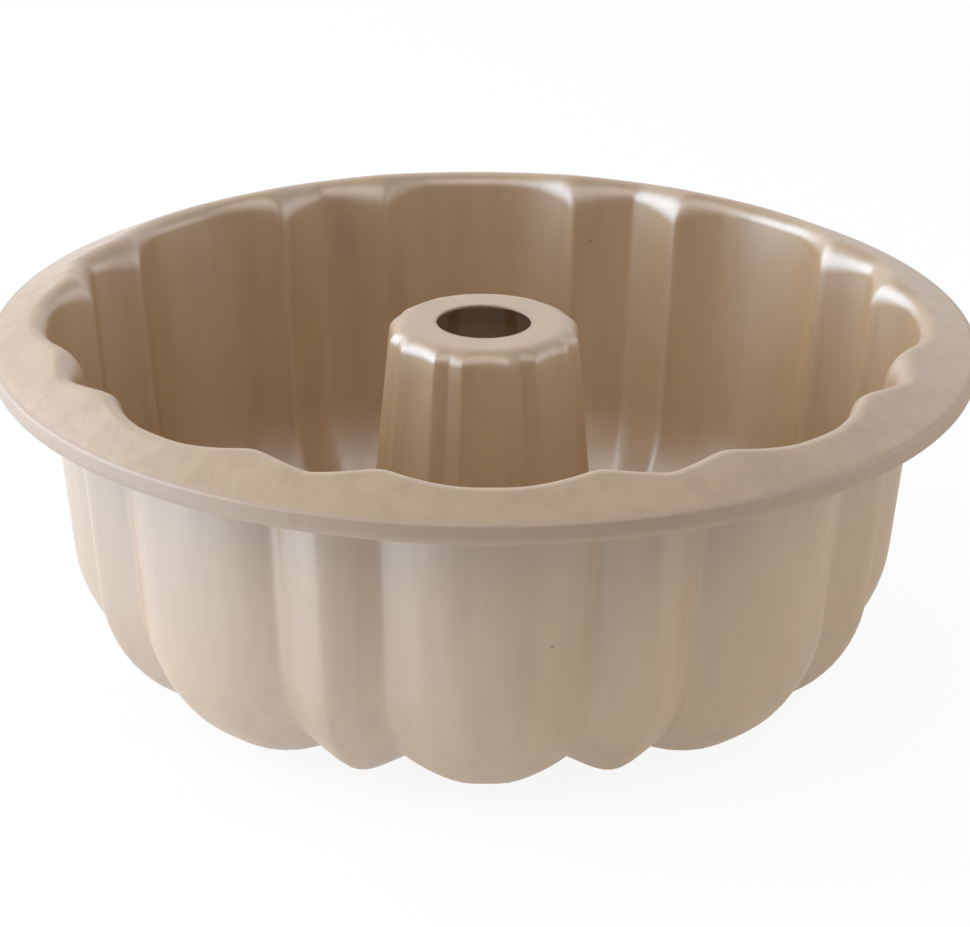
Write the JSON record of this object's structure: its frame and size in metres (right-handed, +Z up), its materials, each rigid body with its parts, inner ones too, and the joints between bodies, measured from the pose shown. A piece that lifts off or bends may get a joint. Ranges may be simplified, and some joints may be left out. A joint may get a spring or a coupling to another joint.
{
  "type": "fluted tube pan",
  "caption": "Round fluted cake pan with a sloped rim, a rolled edge and a hollow fluted tube in the middle, for baking ring cakes.",
  "frame": {"origin": "on the table, under the pan's axis", "axes": "+Z up along the axis of the pan and its tube, a wide flute faces -Y"},
  "size_m": [0.25, 0.25, 0.097],
  "materials": {
    "coated_steel": "satin champagne non-stick coating",
    "wire": "drawn"
  },
  "bodies": {
    "root": {"pan_body": "coated_steel", "centre_tube": "coated_steel", "rim_wire": "wire"}
  },
  "joints": []
}
